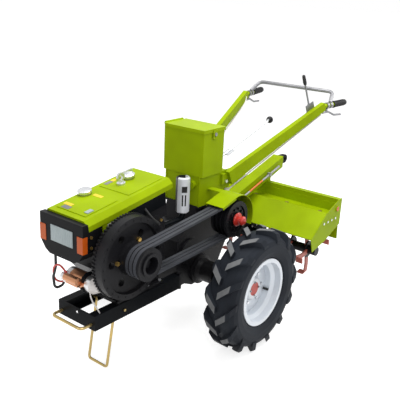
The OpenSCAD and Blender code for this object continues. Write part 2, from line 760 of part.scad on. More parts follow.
module tiller_case() place(black) difference() {
    union() {
        side(-case_half_w, 2 * case_half_w) polygon([[-gear_rear, case_top - 54], [-gear_rear, case_top],
            [-480, rotor_z + 106], [-rotor_x, rotor_z + hub_r], [-rotor_x, rotor_z - hub_r],
            [-rotor_x + 55, rotor_z - 30]]);
        turned(-rotor_x, -case_half_w - 6, rotor_z) square([hub_r, 2 * case_half_w + 12]);
    }
    translate([-rotor_x, 0, rotor_z]) rotate([90, 0, 0])
        cylinder(r = rotor_shaft_r + run_gap, h = 4 * case_half_w, center = true);
}

module tiller_hood() place(green) difference() {
    t = tiller_t;
    step = hood_peak + [-22, -26];
    back = [hood_back.x, step.y];
    side(-tiller_half_w, 2 * tiller_half_w) polygon([hood_front, hood_peak, step, back, hood_back,
        hood_back + [t, 0], back + [t, 1.33 * t], step + [-0.5 * t, 1.33 * t],
        hood_peak + [-0.3 * t, 1.55 * t], hood_front + [0, 1.25 * t]]);
    translate([hood_front.x - 70, -case_half_w - 8, hood_front.y - 20])
        cube([90, 2 * case_half_w + 16, 90]);
}

module tiller_ends() place(green) both_sides() {
    side(tiller_half_w, tiller_t) polygon([[-460, 370], hood_front, hood_peak + [0, tiller_t],
        [-bar_x + 15, bar_z + bar_h], [-bar_x - 22, bar_z + bar_h], [-bar_x - 22, 455], [-600, 398]]);
    turned(-bar_x + 30, tiller_half_w + tiller_t, bar_z - 4) square([16, 5]);
}

module tiller_bar() place(green) {
    side(-tiller_half_w, 2 * tiller_half_w) polygon([[-bar_x - 15, bar_z], [-bar_x + 15, bar_z],
        [-bar_x + 15, bar_z + bar_h], [-bar_x - 15, bar_z + bar_h], [-bar_x - 15, bar_z + bar_h - 5],
        [-bar_x + 10, bar_z + bar_h - 5], [-bar_x + 10, bar_z + 5], [-bar_x - 15, bar_z + 5]]);
    side(-24, 48) polygon([[-bar_x - 15, bar_z + bar_h], [-bar_x + 15, bar_z + bar_h],
        [-bar_x + 15, boom_under(-bar_x + 15)], [-bar_x - 15, boom_under(-bar_x - 15)]]);
}

module tiller_flap() place(green) side(-tiller_half_w + 6, 2 * tiller_half_w - 12) polygon([
    [-bar_x - 15, bar_z + bar_h], [-bar_x - 15, bar_z - 4], [-bar_x - 30, 357], [-bar_x - 30 - tiller_t, 357],
    [-bar_x - 15 - tiller_t, bar_z - 4], [-bar_x - 15 - tiller_t, bar_z + bar_h]]);

module tiller_boom() place(green) side(-boom_half_w, 2 * boom_half_w) polygon([[-gear_rear, boom_low],
    [-gear_rear, boom_low + boom_h], [-boom_end, boom_low + boom_rise + boom_h - 8],
    [-boom_end, boom_low + boom_rise]]);

module hitch_tongue() place(black) {
    z = boom_low + boom_rise + boom_h / 2;
    difference() {
        union() {
            side(-12, 24) translate([-boom_end - 60, z - 26]) square([60, 52]);
            side(-12, 24) translate([-boom_end - 60, z]) circle(r = 26, $fn = 96);
        }
        translate([-boom_end - 60, 0, z]) rotate([90, 0, 0]) cylinder(r = hitch_r, h = 60, center = true);
    }
}

module adjuster() place([0.75, 0.3, 0.15]) {
    y = boom_half_w;
    for (x = [-420, -700]) translate([x - 10, y, boom_under(x) + 26]) cube([20, 20, 20]);
    rod([-400, y + 10, boom_under(-400) + 36], [-800, y + 10, boom_under(-800) + 36], 6);
}

module flywheel() place(black) difference() {
    turned(crank_x, flywheel_y, crank_z) polygon([[crank_r + run_gap, 0], [64, 0], [64, 18],
        [flywheel_r - 34, 18], [flywheel_r - 34, 0], [flywheel_r - 13, 0], [flywheel_r - 13, ring_w],
        [flywheel_r, ring_w], [flywheel_r, flywheel_w], [flywheel_r - 26, flywheel_w],
        [flywheel_r - 30, flywheel_w - 16], [76, flywheel_w - 16], [72, flywheel_w],
        [crank_r + run_gap, flywheel_w]]);
    for (i = [0 : 5]) translate([crank_x, 0, crank_z]) rotate([0, 60 * i, 0]) translate([112, 0, 0])
        rotate([-90, 0, 0]) cylinder(r = 17, h = 2 * pulley_y);
}

module ring_gear() place(grey) {
    root = flywheel_r - 1;
    tip = flywheel_r + 5;
    pitch = 360 / ring_teeth;
    side(flywheel_y, ring_w - still_gap) translate([crank_x, crank_z]) difference() {
        polygon([for (i = [0 : ring_teeth - 1], k = [[root, 0], [tip, 0.2], [tip, 0.45], [root, 0.65]])
            k[0] * [cos((i + k[1]) * pitch), sin((i + k[1]) * pitch)]]);
        circle(r = flywheel_r - 13 + still_gap, $fn = 96);
    }
}

module drive_pulley() place(black) difference() {
    union() {
        turned(crank_x, pulley_y, crank_z) pulley_outline(drive_r, 0, pulley_y, drive_w);
        turned(crank_x, pulley_y + drive_w, crank_z) translate([38, 0]) square([12, 8]);
    }
    turned(crank_x, pulley_y + drive_w - 34, crank_z) square([38, 60]);
}

module clutch_pulley() place(black) difference() {
    turned(clutch_x, clutch_y, clutch_z)
        pulley_outline(clutch_r, clutch_shaft_r + run_gap, clutch_y, pulley_w);
    turned(clutch_x, clutch_y + pulley_w - 8, clutch_z) translate([34, 0]) square([clutch_r - 44, 20]);
}

module clutch_knob() place(red) turned(clutch_x, clutch_y + pulley_w, clutch_z)
    polygon([[0, 0], [32, 0], [34, 6], [30, 10], [16, 14], [14, 26], [22, 30], [22, 38], [16, 44], [0, 46]]);

bead_r = rim_r - 15;
crown_r = tyre_r - lug_h;

module lug_ring() rotate_extrude($fn = 96) polygon([[crown_r - 20, 2], [tyre_r, 2], [tyre_r, tyre_half_w - 30],
    [tyre_r - 14, tyre_half_w - 8], [tyre_r - 48, tyre_half_w], [tyre_r - 62, tyre_half_w - 1],
    [crown_r - 30, tyre_half_w - 14]]);

module tyre() wheel_frame() {
    w = tyre_half_w - 2;
    b = rim_half_w - 5 - seat_gap;
    half = [[bead_r, 0], [bead_r, b], [rim_r + 3, b], [rim_r + 12, w - 10], [rim_r + 37, w - 2],
        [crown_r - 49, w], [crown_r - 26, w - 6], [crown_r - 10, w - 28], [crown_r, 15]];
    n = len(half);
    rotate_extrude($fn = 96) polygon(concat(half, [for (i = [n - 1 : -1 : 1]) [half[i].x, -half[i].y]]));
    for (i = [0 : lug_count - 1], s = [0, 1]) rotate([0, 0, 90 + (i + s / 2) * 360 / lug_count])
        mirror([0, 0, s]) intersection() {
            lug_ring();
            rotate([lug_lean, 0, 0]) translate([crown_r - 90, -lug_w / 2, -20]) cube([150, lug_w, 170]);
        }
}

module rim() wheel_frame() {
    b = bead_r - still_gap;
    w = rim_half_w;
    t = rim_wall;
    rotate_extrude($fn = 96) polygon([[rim_r, -w], [rim_r, 5 - w], [b, 5 - w], [b - 3, -30], [b - 21, -22],
        [b - 21, 18], [b - 3, 30], [b, w - 5], [rim_r, w - 5], [rim_r, w], [b - t, w], [b - t - 3, 33],
        [b - t - 21, 20], [b - t - 21, -24], [b - t - 3, -33], [b - t, -w]]);
    translate([0, 0, -disc_in]) rotate_extrude($fn = 96)
        polygon([[b - t - 20, 4], [b - t - 20, 12], [95, 20], [60, 20], [60, 12], [93, 12]]);
}

module hub() wheel_frame() {
    inner = gear_half_w + 25 - track_half;
    sleeve = housing_end + 15 - track_half;
    seat = 12 - disc_in;
    rotate_extrude($fn = 96) polygon([[0, inner], [shaft_r, inner], [shaft_r, sleeve], [shaft_r + 17, sleeve],
        [shaft_r + 17, seat - 20], [86, seat - 14], [86, seat], [58, seat], [58, seat + 14], [50, seat + 22],
        [0, seat + 22]]);
}

module tyre_left() place(black) tyre();
module rim_left() place(silver) rim();
module hub_left() place(red) hub();
module tyre_right() place(black) mirror([0, 1, 0]) tyre();
module rim_right() place(silver) mirror([0, 1, 0]) rim();
module hub_right() place(red) mirror([0, 1, 0]) hub();

module rotor() place(black) {
    translate([-rotor_x, 0, rotor_z]) rotate([90, 0, 0])
        cylinder(r = rotor_shaft_r, h = 2 * rotor_half_l, center = true);
    both_sides() for (i = [0 : disc_count - 1])
        turned(-rotor_x, disc_first + i * disc_pitch - disc_half_t, rotor_z) square([disc_r, 2 * disc_half_t]);
}

// One bent tine with its flat shank on the plane z = 0, the rotor's axis along z
module tine() {
    bend = 16;
    r0 = rotor_shaft_r + 4;
    tip = tine_r - 3;
    inner = [for (k = [0 : 4])
        [tip - bend + (bend - tine_t) * sin(22.5 * k), bend - (bend - tine_t) * cos(22.5 * k)]];
    outer = [for (k = [4 : -1 : 0]) [tip - bend + bend * sin(22.5 * k), bend - bend * cos(22.5 * k)]];
    intersection() {
        translate([0, tine_w, 0]) rotate([90, 0, 0]) linear_extrude(3 * tine_w)
            polygon(concat([[r0, 0], [r0, tine_t]], inner, [[tip - tine_t, tine_tip], [tip, tine_tip]], outer));
        translate([0, 0, -1]) linear_extrude(tine_tip + 2) polygon([[r0 - 5, -tine_w / 2], [r0 + 60, -tine_w / 2],
            [tip + 1, -tine_w], [tip + 1, 0], [r0 + 70, tine_w / 2 - 4], [r0 - 5, tine_w / 2]]);
    }
}

module tines() place(red) both_sides() for (i = [0 : disc_count - 1], k = [0 : 3]) {
    out = k % 2;
    y = disc_first + i * disc_pitch + (out * 2 - 1) * disc_half_t;
    translate([-rotor_x, y, rotor_z]) rotate([0, 90 * k + 33 * i, 0]) rotate([-90, 0, 0])
        mirror([0, 0, 1 - out]) tine();
}

rail_left();
rail_right();
front_plate();
front_guard();
engine_block();
fuel_tank();
rear_cover();
tank_caps();
lifting_eye();
side_panel();
rear_panel();
lamp_housing();
headlamp();
turn_lamps();
starter_body();
starter_nose();
starter_bracket();
starter_cable();
silencer();
exhaust_pipe();
gearbox();
axle_housings();
belts();
belt_guard();
console_sides();
console_front();
console_shelf();
toolbox();
handlebar_left();
handlebar_right();
arm_rest();
grips();
throttle();
throttle_grip();
gear_lever();
steering_levers();
control_rods();
tiller_case();
tiller_hood();
tiller_ends();
tiller_bar();
tiller_flap();
tiller_boom();
hitch_tongue();
adjuster();
stand();
flywheel();
ring_gear();
drive_pulley();
clutch_pulley();
clutch_knob();
toolbox_lid();
tyre_left();
rim_left();
hub_left();
tyre_right();
rim_right();
hub_right();
rotor();
tines();
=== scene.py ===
"""Looks of the walking tractor: finishes, small hardware, studio and camera round the CAD frame."""

from __future__ import annotations

import logging
import math
from dataclasses import dataclass, field, replace
from enum import Enum

import bpy
from mathutils import Matrix, Vector


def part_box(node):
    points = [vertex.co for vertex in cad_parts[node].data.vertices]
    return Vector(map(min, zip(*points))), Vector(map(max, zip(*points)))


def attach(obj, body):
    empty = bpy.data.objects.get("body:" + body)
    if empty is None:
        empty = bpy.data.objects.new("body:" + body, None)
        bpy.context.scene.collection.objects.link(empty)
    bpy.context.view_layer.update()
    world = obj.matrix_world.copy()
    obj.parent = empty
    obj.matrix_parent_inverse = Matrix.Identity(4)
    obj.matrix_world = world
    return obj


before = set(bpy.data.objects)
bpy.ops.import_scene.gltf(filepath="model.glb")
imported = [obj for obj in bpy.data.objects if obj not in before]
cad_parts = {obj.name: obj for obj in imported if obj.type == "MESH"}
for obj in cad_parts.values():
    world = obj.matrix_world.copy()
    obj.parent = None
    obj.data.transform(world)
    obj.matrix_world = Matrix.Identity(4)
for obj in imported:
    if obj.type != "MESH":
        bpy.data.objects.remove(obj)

log = logging.getLogger("walking_tractor")

Point = tuple[float, float, float]
Colour = tuple[float, float, float]

# Millimetres in a metre, and directions in the part's frame
MM = 1000.0
ZERO: Point = (0.0, 0.0, 0.0)
TO_FRONT: Point = (1.0, 0.0, 0.0)
TO_REAR: Point = (-1.0, 0.0, 0.0)
TO_LEFT: Point = (0.0, 1.0, 0.0)
UPWARD: Point = (0.0, 0.0, 1.0)

# Sides of the repeated prisms
HEX, ROUND, FINE_ROUND, LAMP_ROUND = 6, 12, 24, 32

# Bevel resolution of a lead's round section
LEAD_ROUNDING = 3

# Places in millimetres from the axle and the ground: wheel disc, axle and crankshaft
DISC_Y, AXLE_Z = 425.0, 307.0
CRANK_X, CRANK_Z = 590.0, 583.0

# Thickness of a patch in metres
PATCH_T = 0.0012

# Sockets of a Mix node that blends colours
MIX_AMOUNT, MIX_FIRST, MIX_SECOND, MIX_RESULT = 0, 6, 7, 2

# Noise of every finish: waves as a share of its grain, then octaves
BROAD_SHARE, BROAD_DETAIL = 0.125, 2.0
FINE_SHARE, FINE_DETAIL = 6.0, 4.0
NOISE_MEAN = 0.5
SHADE_STEP = (0.3, 0.7)
COAT_ROUGH = 0.12
BUMP_HEIGHT = 0.001

# Dust, thickest near the ground
DUST: Colour = (0.23, 0.19, 0.14)
DUST_STEP = (0.35, 0.75)
DUST_HEIGHT = (0.05, 0.5)

# Softness of a change of colour in metres
RING_EDGE, BAND_EDGE = 0.001, 0.002

BLACK: Colour = (0.0, 0.0, 0.0)
WHITE: Colour = (1.0, 1.0, 1.0)
GREY: Colour = (0.5, 0.5, 0.5)


class Body(str, Enum):
    """CAD bodies that the added pieces ride on."""

    CHASSIS = "chassis"
    LEFT_WHEEL = "left_wheel"
    RIGHT_WHEEL = "right_wheel"
    FLYWHEEL = "flywheel"
    CLUTCH = "clutch_pulley"
    LID = "toolbox_lid"


class Side(Enum):
    """Left and right of the tractor as the sign of Y."""

    LEFT = 1
    RIGHT = -1

    @property
    def label(self) -> str:
        """Word for the names of pieces.

        Returns:
            The side in lower case.
        """
        return self.name.lower()

    def mirrored(self, point: Point) -> Point:
        """Puts a point or direction of the left side on this side.

        Args:
            point: Point or direction on the left.

        Returns:
            The same on this side.
        """
        return (point[0], self.value * point[1], point[2])


class Wire:
    """A shader socket with operators, so that node maths reads as a formula."""

    def __init__(self, tree: bpy.types.NodeTree, socket: bpy.types.NodeSocket) -> None:
        """Keeps the node tree and the output socket.

        Args:
            tree: Node tree that new nodes go to.
            socket: Output that carries the value.
        """
        self.tree = tree
        self.socket = socket

    def plug(self, socket: bpy.types.NodeSocket, value: Wire | float | tuple[float, ...]) -> None:
        """Feeds an input from a wire or a constant.

        Args:
            socket: Input to feed.
            value: Wire or constant.
        """
        if isinstance(value, Wire):
            self.tree.links.new(value.socket, socket)
        else:
            socket.default_value = value

    def math(self, operation: str, other: Wire | float = 0.0, flip: bool = False,
             clamp: bool = False) -> Wire:
        """Adds one Math node.

        Args:
            operation: Name of the Math node's operation.
            other: Second operand.
            flip: True when this wire is the second operand.
            clamp: True to keep the result between 0 and 1.

        Returns:
            The result.
        """
        node = self.tree.nodes.new("ShaderNodeMath")
        node.operation = operation
        node.use_clamp = clamp
        self.plug(node.inputs[1 if flip else 0], self)
        self.plug(node.inputs[0 if flip else 1], other)
        return Wire(self.tree, node.outputs[0])

    def __add__(self, other: Wire | float) -> Wire:
        """Sum."""
        return self.math("ADD", other)

    def __sub__(self, other: Wire | float) -> Wire:
        """Difference."""
        return self.math("SUBTRACT", other)

    def __mul__(self, other: Wire | float) -> Wire:
        """Product."""
        return self.math("MULTIPLY", other)

    def __truediv__(self, other: Wire | float) -> Wire:
        """Quotient."""
        return self.math("DIVIDE", other)

    def __radd__(self, other: float) -> Wire:
        """Sum with a number on the left."""
        return self.math("ADD", other, flip=True)

    def __rsub__(self, other: float) -> Wire:
        """Difference from a number."""
        return self.math("SUBTRACT", other, flip=True)

    def clamped(self) -> Wire:
        """Keeps the value between 0 and 1.

        Returns:
            The clamped value.
        """
        return self.math("ADD", 0.0, clamp=True)

    def step(self, low: float, high: float) -> Wire:
        """Rises from 0 at low to 1 at high.

        Args:
            low: Value that gives 0.
            high: Value that gives 1.

        Returns:
            The clamped ramp.
        """
        return ((self - low) / (high - low)).clamped()


def shown_rays(tree: bpy.types.NodeTree) -> Wire:
    """Tells the rays of the picture and its reflections from those that only carry light.

    Args:
        tree: Node tree of the world or of a material.

    Returns:
        1 for camera, glossy and transmission rays, and 0 for the others.
    """
    path = tree.nodes.new("ShaderNodeLightPath")
    camera, glossy, through = (Wire(tree, path.outputs[f"Is {kind} Ray"])
                               for kind in ("Camera", "Glossy", "Transmission"))
    return camera.math("MAXIMUM", glossy).math("MAXIMUM", through)


class ShaderSheet:
    """One material with its Principled shader and the nodes that feed it."""

    def __init__(self, name: str) -> None:
        """Makes the material.

        Args:
            name: Name of the material.
        """
        self.material = bpy.data.materials.new(name)
        self.material.use_nodes = True
        self.tree = self.material.node_tree
        self.shader = self.tree.nodes["Principled BSDF"]
        coords = self.tree.nodes.new("ShaderNodeTexCoord")
        self.place = Wire(self.tree, coords.outputs["Object"])

    def node(self, kind: str, output: str, feeds: dict[str, Wire | float]) -> Wire:
        """Adds any other node.

        Args:
            kind: Node type.
            output: Name of the output to return.
            feeds: Input name to wire or constant.

        Returns:
            The output as a wire.
        """
        made = self.tree.nodes.new(kind)
        for name, value in feeds.items():
            self.place.plug(made.inputs[name], value)
        return Wire(self.tree, made.outputs[output])

    def axis(self, name: str) -> Wire:
        """One coordinate of the part's frame in metres.

        Args:
            name: X, Y or Z.

        Returns:
            The coordinate.
        """
        return self.node("ShaderNodeSeparateXYZ", name, {"Vector": self.place})

    def noise(self, scale: float, detail: float = 3.0) -> Wire:
        """Noise between about 0 and 1.

        Args:
            scale: Waves per metre.
            detail: Octaves.

        Returns:
            The noise value.
        """
        return self.node("ShaderNodeTexNoise", "Fac",
                         {"Vector": self.place, "Scale": scale, "Detail": detail})

    def mix(self, amount: Wire, first: Wire | Colour, second: Wire | Colour) -> Wire:
        """Blends two colours.

        Args:
            amount: 0 for the first colour and 1 for the second.
            first: First colour.
            second: Second colour.

        Returns:
            The blend.
        """
        made = self.tree.nodes.new("ShaderNodeMix")
        made.data_type = "RGBA"
        self.place.plug(made.inputs[MIX_AMOUNT], amount)
        for socket, value in ((MIX_FIRST, first), (MIX_SECOND, second)):
            given = value if isinstance(value, Wire) else (*value, 1.0)
            self.place.plug(made.inputs[socket], given)
        return Wire(self.tree, made.outputs[MIX_RESULT])

    def feed(self, name: str, value: Wire | float) -> None:
        """Sets or links one input of the shader.

        Args:
            name: Name of the shader's input.
            value: Wire or constant.
        """
        self.place.plug(self.shader.inputs[name], value)

    def bump(self, height: Wire, strength: float, distance: float) -> None:
        """Feeds the shader's normal from a height.

        Args:
            height: Height between 0 and 1.
            strength: Strength of the bump.
            distance: Height in metres of the value 1.
        """
        self.feed("Normal", self.node("ShaderNodeBump", "Normal",
                                      {"Height": height, "Strength": strength,
                                       "Distance": distance}))


@dataclass(frozen=True)
class Finish:
    """A finish with two shades, a roughness spread and a fine grain."""

    name: str
    light: Colour
    dark: Colour
    rough: float
    rough_spread: float = 0.08
    metallic: float = 0.0
    coat: float = 0.0
    grain: float = 60.0
    bump: float = 0.05
    dust: float = 0.0
    gloss: float = 0.4

    def sheet(self) -> ShaderSheet:
        """Builds the material's sheet.

        Returns:
            The sheet, for more to be added.
        """
        sheet = ShaderSheet(self.name)
        broad = sheet.noise(self.grain * BROAD_SHARE, BROAD_DETAIL)
        fine = sheet.noise(self.grain * FINE_SHARE, FINE_DETAIL)
        shade = self.colour(sheet, sheet.mix(broad.step(*SHADE_STEP), self.dark, self.light))
        if self.dust > 0.0:
            low = 1.0 - sheet.axis("Z").step(*DUST_HEIGHT)
            shade = sheet.mix(low * fine.step(*DUST_STEP) * self.dust, shade, DUST)
        sheet.feed("Base Color", shade)
        sheet.feed("Roughness", self.rough + (fine - NOISE_MEAN) * self.rough_spread)
        sheet.feed("Metallic", self.metallic)
        sheet.feed("Coat Weight", self.coat)
        sheet.feed("Coat Roughness", COAT_ROUGH)
        sheet.feed("Specular IOR Level", self.gloss)
        if self.bump > 0.0:
            sheet.bump(fine, self.bump, BUMP_HEIGHT)
        return sheet

    def colour(self, sheet: ShaderSheet, shade: Wire) -> Wire:
        """Lets a subclass change the colour by place.

        Args:
            sheet: Sheet of this finish.
            shade: Colour so far.

        Returns:
            The colour to use.
        """
        return shade

    def material(self) -> bpy.types.Material:
        """Builds the material.

        Returns:
            The finished material.
        """
        return self.sheet().material


@dataclass(frozen=True)
class Axled(Finish):
    """A finish that changes with the distance from the wheel axle."""

    axle: Point = ZERO

    def radius(self, sheet: ShaderSheet) -> Wire:
        """Distance from the axle.

        Args:
            sheet: Sheet of this finish.

        Returns:
            The radius in metres.
        """
        dx = sheet.axis("X") - self.axle[0]
        dz = sheet.axis("Z") - self.axle[2]
        return (dx * dx + dz * dz).math("SQRT")


@dataclass(frozen=True)
class HubPaint(Axled):
    """Paint with another colour inside a ring of the outer face, and on the shaft behind it."""

    face_r: float = 0.05
    face: Colour = GREY
    shaft_r: float = 0.05
    shaft: Colour = GREY
    face_y: float = 0.0

    def colour(self, sheet: ShaderSheet, shade: Wire) -> Wire:
        """Mixes in the face's inner colour and the shaft's colour.

        Args:
            sheet: Sheet of this finish.
            shade: Colour so far.

        Returns:
            The ringed shade.
        """
        outboard = sheet.axis("Y").math("ABSOLUTE").step(self.face_y, self.face_y + RING_EDGE)
        radius = self.radius(sheet)
        front = sheet.mix(radius.step(self.face_r, self.face_r + RING_EDGE), self.face, shade)
        behind = sheet.mix(radius.step(self.shaft_r, self.shaft_r + RING_EDGE), self.shaft, shade)
        return sheet.mix(outboard, behind, front)


@dataclass(frozen=True)
class TyreRubber(Axled):
    """Rubber whose lug tops are worn grey and whose walls are paler in patches."""

    tip_r: float = 0.307
    worn_depth: tuple[float, float] = (0.004, 0.0015)
    worn_least: float = 0.55
    worn_spread: float = 0.6
    worn_grain: float = 30.0
    worn: Colour = (0.165, 0.168, 0.172)
    wall_depth: tuple[float, float] = (0.085, 0.03)
    wall_share: float = 0.35
    wall_grain: float = 9.0
    wall: Colour = (0.036, 0.041, 0.050)

    def colour(self, sheet: ShaderSheet, shade: Wire) -> Wire:
        """Greys the rubber near the lug tips and on the walls.

        Args:
            sheet: Sheet of this finish.
            shade: Colour so far.

        Returns:
            The worn colour.
        """
        radius = self.radius(sheet)
        patches = self.worn_least + sheet.noise(self.worn_grain) * self.worn_spread
        tips = radius.step(*(self.tip_r - depth for depth in self.worn_depth)) * patches
        inner = 1.0 - radius.step(*(self.tip_r - depth for depth in self.wall_depth))
        walls = inner * sheet.noise(self.wall_grain) * self.wall_share
        return sheet.mix(tips.clamped(), sheet.mix(walls, shade, self.wall), self.worn)


@dataclass(frozen=True)
class Banded(Finish):
    """A finish that takes another colour between two places along one axis."""

    along: str = "Y"
    start: float = 0.0
    end: float = 1.0
    band: Colour = GREY

    def colour(self, sheet: ShaderSheet, shade: Wire) -> Wire:
        """Mixes in the band.

        Args:
            sheet: Sheet of this finish.
            shade: Colour so far.

        Returns:
            The banded colour.
        """
        where = sheet.axis(self.along)
        begun = where.step(self.start, self.start + BAND_EDGE)
        inside = begun * (1.0 - where.step(self.end - BAND_EDGE, self.end))
        return sheet.mix(inside, shade, self.band)


# CAD nodes that wear each finish
NODE_FINISHES: dict[str, tuple[str, ...]] = {
    "green": ("fuel_tank", "rear_cover", "side_panel", "belt_guard", "console_sides",
              "console_front", "console_shelf", "toolbox", "toolbox_lid", "handlebar_left",
              "handlebar_right", "tiller_hood", "tiller_ends", "tiller_bar", "tiller_flap",
              "tiller_boom"),
    "black": ("rail_left", "rail_right", "front_plate", "rear_panel", "starter_bracket",
              "exhaust_pipe", "hitch_tongue", "tiller_case"),
    "casting": ("engine_block", "gearbox", "axle_housings", "flywheel", "ring_gear",
                "drive_pulley", "clutch_pulley", "rotor"),
    "silver": ("tank_caps", "lifting_eye"),
    "rim": ("rim_left", "rim_right"),
    "zinc": ("front_guard", "stand"),
    "tyre": ("tyre_left", "tyre_right"),
    "belt": ("belts",),
    "grip": ("grips", "throttle_grip", "starter_cable"),
    "red": ("clutch_knob",),
    "hub": ("hub_left", "hub_right"),
    "tine": ("tines",),
    "adjuster": ("adjuster",),
    "steel": ("arm_rest", "throttle", "steering_levers"),
    "pale": ("control_rods", "starter_nose"),
    "plastic": ("lamp_housing",),
    "lens": ("headlamp",),
    "amber": ("turn_lamps",),
    "starter": ("starter_body",),
    "silencer": ("silencer",),
    "gear_rod": ("gear_lever",),
}


@dataclass
class Paints:
    """Every material of the tractor, and the ends of its bands of colour in metres."""

    axle: Point
    silencer_y: float
    starter_band: tuple[float, float] = (-0.030, 0.070)
    guard_band: tuple[float, float] = (-0.1, -0.004)
    adjuster_band: tuple[float, float] = (-0.624, -0.495)
    knob_band: tuple[float, float] = (-0.80, -0.7055)
    materials: dict[str, bpy.types.Material] = field(default_factory=dict)

    def plain(self) -> list[Finish]:
        """Finishes that are the same everywhere.

        Returns:
            The finishes.
        """
        return [
            Finish("green", (0.300, 0.415, 0.002), (0.255, 0.350, 0.002), 0.40,
                   bump=0.02, dust=0.02, gloss=0.04),
            Finish("black", (0.006, 0.007, 0.009), (0.004, 0.005, 0.006), 0.34,
                   bump=0.04, dust=0.02, gloss=0.04),
            Finish("casting", (0.010, 0.010, 0.012), (0.005, 0.005, 0.006), 0.40,
                   bump=0.35, dust=0.04, gloss=0.14),
            Finish("silver", (0.72, 0.73, 0.75), (0.60, 0.61, 0.63), 0.28, metallic=0.95),
            Finish("rim", (0.74, 0.78, 0.83), (0.66, 0.70, 0.75), 0.32,
                   metallic=0.15, coat=0.3, dust=0.15),
            Finish("zinc", (0.50, 0.36, 0.12), (0.40, 0.30, 0.13), 0.30,
                   metallic=0.85, grain=120.0),
            Finish("belt", (0.052, 0.055, 0.064), (0.036, 0.038, 0.045), 0.60,
                   bump=0.2, gloss=0.2),
            Finish("grip", (0.014, 0.014, 0.015), (0.009, 0.009, 0.010), 0.55, bump=0.2),
            Finish("red", (0.62, 0.045, 0.03), (0.50, 0.03, 0.022), 0.34, coat=0.3),
            Finish("tine", (0.50, 0.12, 0.085), (0.38, 0.075, 0.055), 0.42, dust=0.3),
            Finish("steel", (0.28, 0.28, 0.29), (0.19, 0.19, 0.20), 0.36, metallic=0.7),
            Finish("pale", (0.75, 0.72, 0.70), (0.62, 0.58, 0.56), 0.4),
            Finish("plastic", (0.009, 0.009, 0.010), (0.006, 0.006, 0.007), 0.36,
                   bump=0.1, gloss=0.07),
            Finish("lens", (0.36, 0.42, 0.43), (0.28, 0.34, 0.35), 0.14, coat=0.3, bump=0.0),
            Finish("amber", (0.62, 0.115, 0.010), (0.46, 0.075, 0.008), 0.18,
                   coat=0.1, bump=0.0, gloss=0.2),
            Finish("brass", (0.70, 0.46, 0.14), (0.55, 0.34, 0.09), 0.32, metallic=0.9),
            Finish("yellow", (0.80, 0.55, 0.02), (0.74, 0.48, 0.02), 0.4, bump=0.0),
            # Near-black finish for boxes of painted shade that stand in for the openings of the
            # silencer's guard
            Finish("painted_hole_shade", (0.006, 0.006, 0.006), (0.004, 0.004, 0.004), 0.7),
        ]

    def placed(self) -> list[Finish]:
        """Finishes that change with the place on the tractor.

        Returns:
            The finishes.
        """
        return [
            TyreRubber("tyre", (0.020, 0.024, 0.031), (0.013, 0.015, 0.020), 0.60,
                       bump=0.3, dust=0.06, gloss=0.07, axle=self.axle),
            HubPaint("hub", (0.70, 0.72, 0.75), (0.60, 0.62, 0.65), 0.34, metallic=0.15,
                     axle=self.axle, face_r=0.034, face=(0.42, 0.05, 0.035), shaft_r=0.048,
                     shaft=(0.010, 0.010, 0.012), face_y=0.405),
            Banded("starter", (0.66, 0.66, 0.67), (0.55, 0.55, 0.56), 0.30, metallic=0.9,
                   along="Y", start=self.starter_band[0], end=self.starter_band[1],
                   band=(0.50, 0.24, 0.13)),
            Banded("silencer", (0.78, 0.80, 0.84), (0.70, 0.72, 0.77), 0.34, metallic=0.1,
                   along="Y", start=self.silencer_y + self.guard_band[0],
                   end=self.silencer_y + self.guard_band[1], band=(0.008, 0.008, 0.009)),
            Banded("adjuster", (0.34, 0.34, 0.35), (0.24, 0.24, 0.25), 0.36, metallic=0.2,
                   along="X", start=self.axle[0] + self.adjuster_band[0],
                   end=self.axle[0] + self.adjuster_band[1], band=(0.60, 0.16, 0.03)),
            Banded("gear_rod", (0.62, 0.63, 0.65), (0.52, 0.53, 0.55), 0.3, metallic=0.6,
                   along="X", start=self.axle[0] + self.knob_band[0],
                   end=self.axle[0] + self.knob_band[1], band=(0.010, 0.010, 0.011)),
        ]

    def build(self) -> None:
        """Builds the materials."""
        for finish in self.plain() + self.placed():
            self.materials[finish.name] = finish.material()

    def __getitem__(self, name: str) -> bpy.types.Material:
        """One material.

        Args:
            name: Name of its finish.

        Returns:
            The material.
        """
        return self.materials[name]

    def dress(self) -> None:
        """Gives every CAD node its material."""
        for name, nodes in NODE_FINISHES.items():
            for node in nodes:
                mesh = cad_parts[node].data
                mesh.materials.clear()
                mesh.materials.append(self[name])


@dataclass(frozen=True)
class Placing:
    """Turns millimetres from the wheel axle into metres of the part's frame."""

    axle_x: float

    def at(self, x: float, y: float, z: float) -> Vector:
        """One point.

        Args:
            x: Forward of the axle.
            y: To the left of the middle.
            z: Above the ground.

        Returns:
            The point in metres.
        """
        return Vector((self.axle_x + x / MM, y / MM, z / MM))


def facing(origin: Vector, outward: Point, across: Point = TO_FRONT) -> Matrix:
    """Frame whose Z points outward.

    Args:
        origin: Origin of the frame.
        outward: Direction of its Z axis.
        across: Rough direction of its X axis.

    Returns:
        The frame.
    """
    z = Vector(outward).normalized()
    y = z.cross(Vector(across)).normalized()
    x = y.cross(z)
    turn = Matrix((x, y, z)).transposed().to_4x4()
    return Matrix.Translation(origin) @ turn


@dataclass(frozen=True)
class Prism:
    """One part of a ring or a row, in metres."""

    radius: float
    height: float
    sides: int = HEX


